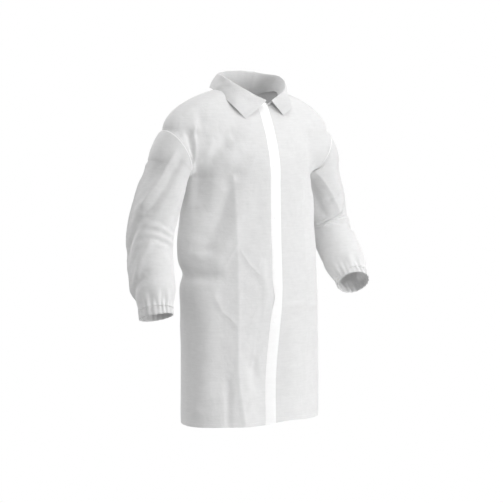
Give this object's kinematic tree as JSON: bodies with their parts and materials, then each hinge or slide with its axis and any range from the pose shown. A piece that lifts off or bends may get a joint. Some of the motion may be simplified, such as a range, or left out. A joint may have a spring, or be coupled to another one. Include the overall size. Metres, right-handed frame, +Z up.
{
  "type": "lab coat",
  "caption": "Knee-length disposable lab coat with a shirt collar, a snap-fastened front and gathered elastic cuffs, shaped as worn.",
  "frame": {"origin": "under the middle of the coat as worn, sleeves included, in the plane of the hem", "axes": "-Y is the front of the coat, +X the wearer's left, +Z up towards the collar"},
  "size_m": [0.7956, 0.3, 1.0304],
  "materials": {
    "coat_cloth": "matte spunbond polypropylene, one ply",
    "strip_cloth": "matte spunbond polypropylene, folded strip",
    "snap_plastic": "satin moulded plastic",
    "elastic": "flat woven elastic"
  },
  "bodies": {
    "coat_body": {"back_panel": "coat_cloth", "inner_strip_upper": "strip_cloth", "left_front_panel": "coat_cloth", "outer_strip_upper": "strip_cloth", "right_front_panel": "coat_cloth", "snap_cap_1": "snap_plastic", "snap_cap_2": "snap_plastic", "snap_socket_1": "snap_plastic", "snap_socket_2": "snap_plastic", "snap_stud_1": "snap_plastic", "snap_stud_2": "snap_plastic", "snap_stud_3": "snap_plastic", "snap_washer_1": "snap_plastic", "snap_washer_2": "snap_plastic", "snap_washer_3": "snap_plastic", "under_collar": "coat_cloth", "upper_collar": "coat_cloth"},
    "right_front": {"right_front_turnback": "coat_cloth", "outer_strip_lower": "strip_cloth", "snap_cap_3": "snap_plastic", "snap_cap_4": "snap_plastic", "snap_cap_5": "snap_plastic", "snap_socket_3": "snap_plastic", "snap_socket_4": "snap_plastic", "snap_socket_5": "snap_plastic"},
    "left_front": {"left_front_turnback": "coat_cloth", "inner_strip_lower": "strip_cloth", "snap_stud_4": "snap_plastic", "snap_stud_5": "snap_plastic", "snap_washer_4": "snap_plastic", "snap_washer_5": "snap_plastic"},
    "right_upper_sleeve": {"right_sleeve_upper": "coat_cloth"},
    "right_lower_sleeve": {"right_sleeve_lower": "coat_cloth", "right_cuff_casing": "coat_cloth", "right_cuff_elastic": "elastic"},
    "left_upper_sleeve": {"left_sleeve_upper": "coat_cloth"},
    "left_lower_sleeve": {"left_sleeve_lower": "coat_cloth", "left_cuff_casing": "coat_cloth", "left_cuff_elastic": "elastic"}
  },
  "joints": [
    {"name": "right_front_open", "type": "hinge", "parent": "coat_body", "child": "right_front", "pos_m": [-0.14498, -0.12157, 0.00003], "axis": [-0.2318, 0.0078, -0.9727], "range_deg": [0, 75]},
    {"name": "left_front_open", "type": "hinge", "parent": "coat_body", "child": "left_front", "pos_m": [0.16502, -0.12557, 0.00003], "axis": [-0.2797, 0, 0.9601], "range_deg": [0, 52.5]},
    {"name": "right_shoulder_swing", "type": "hinge", "parent": "coat_body", "child": "right_upper_sleeve", "pos_m": [-0.23498, 0.03243, 0.79203], "axis": [-1, 0, 0], "range_deg": [-15, 40]},
    {"name": "right_elbow_bend", "type": "hinge", "parent": "right_upper_sleeve", "child": "right_lower_sleeve", "pos_m": [-0.32298, 0.03043, 0.54803], "axis": [-1, 0, 0], "range_deg": [-5, 40]},
    {"name": "left_shoulder_swing", "type": "hinge", "parent": "coat_body", "child": "left_upper_sleeve", "pos_m": [0.26502, 0.03243, 0.79203], "axis": [-1, 0, 0], "range_deg": [-15, 40]},
    {"name": "left_elbow_bend", "type": "hinge", "parent": "left_upper_sleeve", "child": "left_lower_sleeve", "pos_m": [0.33502, 0.04443, 0.56503], "axis": [-1, 0, 0], "range_deg": [-35, 5]}
  ],
  "couplings": [
    {"joint": "left_front_open", "follows": "right_front_open", "ratio": 0.7}
  ]
}
